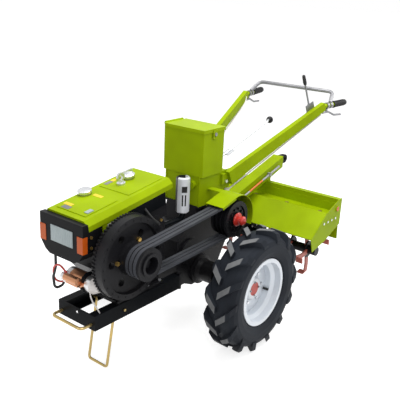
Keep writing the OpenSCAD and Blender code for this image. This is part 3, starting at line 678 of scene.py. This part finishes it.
@dataclass(frozen=True)
class Bolts:
    """One prism, a ring of them (ring_r over 0) or a row of them, on a face of the part.

    The spot is in millimetres from the axle, and the other lengths are in metres.
    """

    name: str
    tone: str
    spot: Point
    part: Prism
    outward: Point = TO_LEFT
    across: Point = TO_FRONT
    count: int = 1
    ring_r: float = 0.0
    step: Point = ZERO
    body: Body = Body.CHASSIS

    def on(self, side: Side, name: str, body: Body) -> Bolts:
        """Puts bolts of the left side on one side.

        Args:
            side: Left or right.
            name: Name of the piece there.
            body: Body it rides on there.

        Returns:
            The bolts of that side.
        """
        return replace(self, name=name, body=body, spot=side.mirrored(self.spot),
                       outward=side.mirrored(self.outward))


@dataclass(frozen=True)
class Lead:
    """A smooth tube held at both ends: radius in metres, route in millimetres from the axle."""

    name: str
    tone: str
    radius: float
    route: tuple[Point, ...]

    def on(self, side: Side) -> Lead:
        """Puts a lead of the left side on one side.

        Args:
            side: Left or right.

        Returns:
            The lead of that side.
        """
        return replace(self, name=f"{self.name}_{side.label}",
                       route=tuple(side.mirrored(point) for point in self.route))


@dataclass(frozen=True)
class Patch:
    """A box set on the engine's cover: place in millimetres, size in metres."""

    name: str
    tone: str
    spot: Point
    size: Point


@dataclass(frozen=True)
class Opening:
    """Painted shade in the silencer's guard, a dark box where an opening is: turn in degrees, rise
    and size in metres.
    """

    name: str
    degrees: float
    rise: float
    size: Point


@dataclass
class Maker:
    """Turns node groups, curves and boxes into plain meshes that ride on a body."""

    paints: Paints
    where: Placing
    made: list[str] = field(default_factory=list)
    groups: dict[str, bpy.types.NodeTree] = field(default_factory=dict)

    def keep(self, name: str, mesh: bpy.types.Mesh, body: Body) -> None:
        """Puts a mesh that is already in its place into the scene.

        Args:
            name: Name of the piece.
            mesh: Mesh in the part's frame.
            body: Body it rides on.
        """
        mesh.name = name
        piece = bpy.data.objects.new(name, mesh)
        bpy.context.scene.collection.objects.link(piece)
        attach(piece, body.value)
        self.made.append(name)

    @staticmethod
    def settle(holder: bpy.types.Object) -> bpy.types.Mesh:
        """Turns a helper object into a plain mesh and removes it.

        Args:
            holder: Object with a modifier, or a curve.

        Returns:
            The mesh.
        """
        bpy.context.scene.collection.objects.link(holder)
        bpy.context.view_layer.update()
        graph = bpy.context.evaluated_depsgraph_get()
        mesh = bpy.data.meshes.new_from_object(holder.evaluated_get(graph))
        bpy.data.objects.remove(holder, do_unlink=True)
        return mesh

    def group(self, name: str, points: str, feeds: dict[str, str]) -> bpy.types.NodeTree:
        """Node group that sets one prism on every point of a circle or a line.

        Args:
            name: Name of the group.
            points: Node type that makes the points.
            feeds: Input of that node to the group's input name.

        Returns:
            The group, made once.
        """
        if name in self.groups:
            return self.groups[name]
        tree = bpy.data.node_groups.new(name, "GeometryNodeTree")
        kinds = {"Count": "NodeSocketInt", "Sides": "NodeSocketInt", "Offset": "NodeSocketVector",
                 "Finish": "NodeSocketMaterial"}
        for label in (*feeds.values(), "Sides", "Part Radius", "Part Height", "Finish"):
            tree.interface.new_socket(label, in_out="INPUT",
                                      socket_type=kinds.get(label, "NodeSocketFloat"))
        tree.interface.new_socket("Geometry", in_out="OUTPUT", socket_type="NodeSocketGeometry")
        given = tree.nodes.new("NodeGroupInput")
        spots = tree.nodes.new(points)
        prism = tree.nodes.new("GeometryNodeMeshCylinder")
        spread = tree.nodes.new("GeometryNodeInstanceOnPoints")
        real = tree.nodes.new("GeometryNodeRealizeInstances")
        paint = tree.nodes.new("GeometryNodeSetMaterial")
        result = tree.nodes.new("NodeGroupOutput")
        for socket, label in feeds.items():
            tree.links.new(given.outputs[label], spots.inputs[socket])
        sizes = {"Vertices": "Sides", "Radius": "Part Radius", "Depth": "Part Height"}
        for socket, label in sizes.items():
            tree.links.new(given.outputs[label], prism.inputs[socket])
        tree.links.new(spots.outputs[0], spread.inputs["Points"])
        tree.links.new(prism.outputs[0], spread.inputs["Instance"])
        tree.links.new(spread.outputs[0], real.inputs[0])
        tree.links.new(real.outputs[0], paint.inputs["Geometry"])
        tree.links.new(given.outputs["Finish"], paint.inputs["Material"])
        tree.links.new(paint.outputs[0], result.inputs[0])
        self.groups[name] = tree
        return tree

    def bolts(self, spec: Bolts) -> None:
        """Adds a prism, a ring or a row.

        Args:
            spec: What it is made of and where it sits.
        """
        values = {"Count": spec.count, "Radius": spec.ring_r, "Offset": spec.step,
                  "Sides": spec.part.sides, "Part Radius": spec.part.radius,
                  "Part Height": spec.part.height, "Finish": self.paints[spec.tone]}
        if spec.ring_r > 0.0:
            group = self.group("ring_of_parts", "GeometryNodeMeshCircle",
                               {"Vertices": "Count", "Radius": "Radius"})
        else:
            group = self.group("row_of_parts", "GeometryNodeMeshLine",
                               {"Count": "Count", "Offset": "Offset"})
        holder = bpy.data.objects.new("holder", bpy.data.meshes.new("holder"))
        modifier = holder.modifiers.new("repeat", "NODES")
        modifier.node_group = group
        for item in group.interface.items_tree:
            if item.in_out == "INPUT":
                modifier[item.identifier] = values[item.name]
        mesh = self.settle(holder)
        mesh.transform(facing(self.where.at(*spec.spot), spec.outward, spec.across))
        self.keep(spec.name, mesh, spec.body)

    def lead(self, spec: Lead) -> None:
        """Adds a tube on the chassis.

        Args:
            spec: Its finish, radius and route.
        """
        curve = bpy.data.curves.new(spec.name, "CURVE")
        curve.dimensions = "3D"
        curve.bevel_depth = spec.radius
        curve.bevel_resolution = LEAD_ROUNDING
        curve.use_fill_caps = True
        line = curve.splines.new("BEZIER")
        line.bezier_points.add(len(spec.route) - 1)
        for knot, point in zip(line.bezier_points, spec.route):
            knot.co = self.where.at(*point)
            knot.handle_left_type = knot.handle_right_type = "AUTO"
        mesh = self.settle(bpy.data.objects.new("holder", curve))
        mesh.materials.clear()
        mesh.materials.append(self.paints[spec.tone])
        mesh.shade_smooth()
        self.keep(spec.name, mesh, Body.CHASSIS)

    def block(self, name: str, tone: str, place: Matrix, size: Point) -> None:
        """Adds a box on the chassis, centred in a frame.

        Args:
            name: Name of the piece.
            tone: Name of its finish.
            place: Frame of the box.
            size: Lengths along the frame's axes.
        """
        hx, hy, hz = (length / 2.0 for length in size)
        corners = [(x, y, z) for x in (-hx, hx) for y in (-hy, hy) for z in (-hz, hz)]
        faces = [(0, 1, 3, 2), (4, 6, 7, 5), (0, 4, 5, 1), (2, 3, 7, 6), (0, 2, 6, 4), (1, 5, 7, 3)]
        mesh = bpy.data.meshes.new(name)
        mesh.from_pydata(corners, [], faces)
        mesh.materials.append(self.paints[tone])
        mesh.transform(place)
        self.keep(name, mesh, Body.CHASSIS)


@dataclass
class WheelHardware:
    """Nuts, disc welds, hub bolts and valve of one wheel."""

    side: Side
    body: Body
    parts: tuple[Bolts, ...] = (
        Bolts("nuts", "silver", (0.0, DISC_Y, AXLE_Z), Prism(0.0085, 0.010),
              count=6, ring_r=0.074),
        Bolts("disc_welds", "rim", (0.0, DISC_Y - 9.5, AXLE_Z), Prism(0.006, 0.003, ROUND),
              count=12, ring_r=0.118),
        Bolts("hub_bolts", "steel", (0.0, DISC_Y + 12.0, AXLE_Z), Prism(0.005, 0.006),
              count=4, ring_r=0.034),
        Bolts("valve", "grip", (-113.0, DISC_Y + 2.0, AXLE_Z - 42.0),
              Prism(0.006, 0.034, ROUND)),
    )

    def build(self, maker: Maker) -> None:
        """Adds the pieces.

        Args:
            maker: Maker of pieces.
        """
        for part in self.parts:
            maker.bolts(part.on(self.side, f"{self.body.value}_{part.name}", self.body))


@dataclass
class EngineHardware:
    """Patches, bolts, lens ribs, painted shade for the silencer's openings, hose and leads of the
    engine.
    """

    tilt: float = math.radians(8.5)
    cover: Point = (513.0, -20.0, 807.0)
    proud: float = 0.0006
    openings: tuple[Opening, ...] = (
        Opening("port", 53.7, 0.033, (0.026, 0.030, 0.008)),
        Opening("slot_front", 39.7, -0.022, (0.007, 0.056, 0.004)),
        Opening("slot_rear", 63.6, -0.022, (0.007, 0.056, 0.004)),
    )
    patches: tuple[Patch, ...] = (
        Patch("tank_gauge", "lens", (190, 70, 4.5), (0.034, 0.022, 0.004)),
        Patch("panel_patch_yellow", "yellow", (78, 129.5, -77), (0.040, PATCH_T, 0.044)),
        Patch("panel_patch_grey", "pale", (130, 129.5, -77), (0.044, PATCH_T, 0.044)),
        Patch("cover_patch_front_grey", "steel", (211, -46, 3.5), (0.024, 0.046, PATCH_T)),
        Patch("cover_patch_front_yellow", "yellow", (186, -62, 3.5), (0.020, 0.050, PATCH_T)),
        Patch("cover_patch_middle_yellow", "yellow", (62, -14, 3.5), (0.018, 0.054, PATCH_T)),
        Patch("cover_patch_rear_grey", "steel", (-62, -80, 3.0), (0.040, 0.022, PATCH_T)),
        Patch("cover_patch_rear_yellow", "yellow", (-98, -80, 3.0), (0.026, 0.022, PATCH_T)),
    )
    rows: tuple[Bolts, ...] = (
        Bolts("lamp_trim_bolts", "brass", (752.0, 117.0, 702.0), Prism(0.007, 0.008),
              count=2, step=(0.0, 0.046, 0.0)),
        Bolts("block_bolts", "brass", (320.0, 106.5, 660.0), Prism(0.007, 0.008),
              count=6, step=(0.036, 0.0, 0.0)),
        Bolts("foot_bolts", "silver", (315.0, 100.0, 353.0), Prism(0.009, 0.010), UPWARD,
              count=4, step=(0.082, 0.0, 0.0)),
        Bolts("lens_ribs", "lens", (797.5, -72.0, 685.0), Prism(0.002, 0.064, ROUND), UPWARD,
              count=12, step=(0.0, 0.011, 0.0)),
    )
    leads: tuple[Lead, ...] = (
        Lead("fuel_hose", "grip", 0.006,
             ((430, 106, 742), (410, 132, 700), (360, 126, 660), (330, 103, 640))),
        Lead("starter_lead", "red", 0.0045,
             ((759, -30, 501), (772, -70, 530), (764, -112, 470), (742, -110, 430),
              (716, -58, 452))),
        Lead("horn_lead", "pale", 0.0028,
             ((740, 88, 466), (752, 112, 430), (722, 112, 372), (700, 108, 334))),
    )

    def build(self, maker: Maker) -> None:
        """Adds the pieces.

        Args:
            maker: Maker of pieces.
        """
        top = Matrix.Translation(maker.where.at(*self.cover)) @ Matrix.Rotation(self.tilt, 4, "Y")
        for patch in self.patches:
            place = top @ Matrix.Translation(Vector(patch.spot) / MM)
            maker.block(patch.name, patch.tone, place, patch.size)
        for row in self.rows:
            maker.bolts(row)
        self.paint_vent_shade(maker)
        for lead in self.leads:
            maker.lead(lead)

    def paint_vent_shade(self, maker: Maker) -> None:
        """Adds dark boxes of painted shade where the port and the two slots of the silencer's guard
        are.

        Args:
            maker: Maker of pieces.
        """
        low, high = (Vector(corner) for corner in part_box("silencer"))
        middle, radius = (low + high) / 2.0, (high.x - low.x) / 2.0
        for opening in self.openings:
            turn = math.radians(opening.degrees)
            out = Vector((math.cos(turn), math.sin(turn), 0.0))
            reach = radius + self.proud - opening.size[2] / 2.0
            spot = middle + out * reach + Vector((0.0, 0.0, opening.rise))
            # Each opening is a thin near-black box of painted shade set just proud of the guard,
            # not a hole
            maker.block(f"silencer_{opening.name}", "painted_hole_shade", facing(spot, tuple(out)),
                        opening.size)


@dataclass
class DriveHardware:
    """Bolts, crank nut, marks and ribs of the flywheel and the pulleys."""

    parts: tuple[Bolts, ...] = (
        Bolts("pulley_bolts", "brass", (CRANK_X, 187.0, CRANK_Z), Prism(0.010, 0.012),
              count=3, ring_r=0.084, body=Body.FLYWHEEL),
        Bolts("crank_nut", "casting", (CRANK_X, 264.0, CRANK_Z), Prism(0.024, 0.014),
              body=Body.FLYWHEEL),
        Bolts("flywheel_marks", "casting", (CRANK_X, 198.5, CRANK_Z), Prism(0.004, 0.003, ROUND),
              count=24, ring_r=0.170, body=Body.FLYWHEEL),
        Bolts("clutch_ribs", "casting", (-20.0, 289.5, 623.0), Prism(0.006, 0.009, ROUND),
              count=10, ring_r=0.051, body=Body.CLUTCH),
    )

    def build(self, maker: Maker) -> None:
        """Adds the pieces.

        Args:
            maker: Maker of pieces.
        """
        for part in self.parts:
            maker.bolts(part)


@dataclass
class HandleHardware:
    """Grip rings, leads and bracket bolts of the handlebars, and the toolbox lock."""

    end: Point = (-848.3, 262.7, 1072.7)
    rise: float = math.radians(1.75)
    splay: float = math.radians(7.0)
    first_ring: float = 122.0
    ring_count: int = 11
    ring_step: float = 0.0082
    ring: Prism = Prism(0.0188, 0.004, FINE_ROUND)
    control: Lead = Lead("control_lead", "pale", 0.0032,
                         ((-838, 248, 1062), (-800, 226, 1040), (-640, 188, 958),
                          (-420, 150, 850), (-211, 117, 742)))
    throttle: Lead = Lead("throttle_lead", "grip", 0.003,
                          ((-743, 225.5, 1045), (-560, 176, 930), (-330, 128, 828),
                           (-212, 107, 798)))
    parts: tuple[Bolts, ...] = (
        Bolts("toolbox_lock", "steel", (-31.0, 130.8, 1011.0), Prism(0.009, 0.010, FINE_ROUND),
              body=Body.LID),
        Bolts("bracket_bolts_left", "silver", (-200.0, 127.5, 752.0), Prism(0.009, 0.010),
              count=2, step=(0.055, 0.0, 0.0)),
    )

    def grip_rings(self) -> Bolts:
        """Rings along the left grip.

        Returns:
            The rings.
        """
        flat = math.cos(self.rise)
        way = (-flat * math.cos(self.splay), flat * math.sin(self.splay), math.sin(self.rise))
        spot = tuple(begin + part * self.first_ring for begin, part in zip(self.end, way))
        return Bolts("grip_rings", "grip", spot, self.ring, way, TO_LEFT, self.ring_count,
                     step=(0.0, 0.0, self.ring_step))

    def build(self, maker: Maker) -> None:
        """Adds the pieces.

        Args:
            maker: Maker of pieces.
        """
        rings = self.grip_rings()
        for side in Side:
            maker.bolts(rings.on(side, f"{rings.name}_{side.label}", rings.body))
            maker.lead(self.control.on(side))
        maker.lead(self.throttle)
        for part in self.parts:
            maker.bolts(part)


@dataclass
class TillerHardware:
    """Bolts and reflectors of the tiller."""

    pairs: tuple[Bolts, ...] = (
        Bolts("end_bolts", "silver", (-560.0, 491.5, 505.0), Prism(0.007, 0.006),
              across=TO_REAR, count=4, step=(0.044, 0.0, 0.0)),
        Bolts("reflector", "amber", (-705.0, 495.6, 556.0), Prism(0.014, 0.0016, LAMP_ROUND)),
    )
    parts: tuple[Bolts, ...] = (
        Bolts("case_bolts", "silver", (-575.0, 46.0, 330.0), Prism(0.006, 0.006),
              count=6, ring_r=0.048),
        Bolts("hood_bolts", "zinc", (-640.0, -420.0, 536.0), Prism(0.012, 0.014), UPWARD,
              count=5, step=(0.0, 0.21, 0.0)),
    )

    def build(self, maker: Maker) -> None:
        """Adds the pieces.

        Args:
            maker: Maker of pieces.
        """
        for side in Side:
            for pair in self.pairs:
                maker.bolts(pair.on(side, f"{pair.name}_{side.label}", pair.body))
        for part in self.parts:
            maker.bolts(part)


@dataclass(frozen=True)
class Softbox:
    """One soft area light: place, aim and side in metres, power in watts."""

    name: str
    spot: Point
    aim: Point
    size: float
    power: float

    def build(self) -> None:
        """Adds the light."""
        data = bpy.data.lights.new(self.name, "AREA")
        data.size = self.size
        data.energy = self.power
        lamp = bpy.data.objects.new(self.name, data)
        lamp.location = self.spot
        way = Vector(self.aim) - Vector(self.spot)
        lamp.rotation_euler = way.to_track_quat("-Z", "Y").to_euler()
        bpy.context.scene.collection.objects.link(lamp)


@dataclass
class Studio:
    """Floor, lights, world and the camera of the photograph."""

    eye: Point = (2286.76, 1843.84, 1649.45)
    right: Point = (-0.6222, 0.7817, 0.0435)
    up: Point = (-0.2251, -0.2317, 0.9464)
    ahead: Point = (-0.7499, -0.5790, -0.3201)
    lens: float = 55.14
    sensor: float = 36.0
    ambient: float = 0.36
    floor_half: float = 90.0
    floor_drop: float = 0.0005
    floor_glow: float = 0.74
    lights: tuple[Softbox, ...] = (
        Softbox("key", (2.6, 3.2, 3.6), (0.2, 0.0, 0.5), 2.6, 72.0),
        Softbox("front", (4.0, -0.6, 2.4), (0.2, 0.0, 0.5), 2.4, 28.0),
        Softbox("top", (-0.2, 0.2, 4.4), (0.0, 0.0, 0.4), 3.2, 180.0),
        Softbox("rear", (-3.0, 2.2, 2.6), (-0.2, 0.0, 0.6), 2.0, 45.0),
    )

    def build(self, where: Placing) -> None:
        """Builds the studio.

        Args:
            where: Placing from the axle.
        """
        bpy.context.scene.view_settings.view_transform = "Standard"
        self.world()
        self.floor()
        for light in self.lights:
            light.build()
        self.camera(where)

    def world(self) -> None:
        """Builds a world that looks white and lights the part less than that."""
        world = bpy.data.worlds.new("studio")
        world.use_nodes = True
        bpy.context.scene.world = world
        tree = world.node_tree
        back = tree.nodes["Background"]
        back.inputs["Color"].default_value = (*WHITE, 1.0)
        strength = shown_rays(tree) * (1.0 - self.ambient) + self.ambient
        strength.plug(back.inputs["Strength"], strength)

    def floor(self) -> None:
        """Builds a pale floor that glows for the picture only."""
        half = self.floor_half
        mesh = bpy.data.meshes.new("floor")
        mesh.from_pydata([(-half, -half, 0), (half, -half, 0), (half, half, 0), (-half, half, 0)],
                         [], [(0, 1, 2, 3)])
        white = Finish("floor_white", (0.62, 0.62, 0.62), (0.61, 0.61, 0.61), 0.8,
                       bump=0.0).sheet()
        white.feed("Emission Color", white.mix(shown_rays(white.tree), BLACK, WHITE))
        white.feed("Emission Strength", self.floor_glow)
        mesh.materials.append(white.material)
        floor = bpy.data.objects.new("floor", mesh)
        floor.location.z = -self.floor_drop
        bpy.context.scene.collection.objects.link(floor)

    def camera(self, where: Placing) -> None:
        """Sets the camera where the photograph was taken.

        Args:
            where: Placing from the axle.
        """
        data = bpy.data.cameras.new("photo_camera")
        data.lens = self.lens
        data.sensor_width = self.sensor
        camera = bpy.data.objects.new("photo_camera", data)
        behind = tuple(-part for part in self.ahead)
        turn = Matrix((self.right, self.up, behind)).transposed()
        camera.matrix_world = Matrix.Translation(where.at(*self.eye)) @ turn.to_4x4()
        bpy.context.scene.collection.objects.link(camera)
        bpy.context.scene.camera = camera


def main() -> None:
    """Builds the looks in order and reports the pieces."""
    logging.basicConfig(level=logging.INFO)
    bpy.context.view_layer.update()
    low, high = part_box("hub_left")
    axle = ((low[0] + high[0]) / 2.0, 0.0, (low[2] + high[2]) / 2.0)
    where = Placing(axle[0])
    can_low, can_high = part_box("silencer")
    paints = Paints(axle, (can_low[1] + can_high[1]) / 2.0)
    paints.build()
    paints.dress()
    maker = Maker(paints, where)
    for hardware in (WheelHardware(Side.LEFT, Body.LEFT_WHEEL),
                     WheelHardware(Side.RIGHT, Body.RIGHT_WHEEL),
                     EngineHardware(), DriveHardware(), HandleHardware(), TillerHardware()):
        hardware.build(maker)
    Studio().build(where)
    log.info("added %d pieces: %s", len(maker.made), ", ".join(maker.made))


if __name__ == "__main__":
    main()
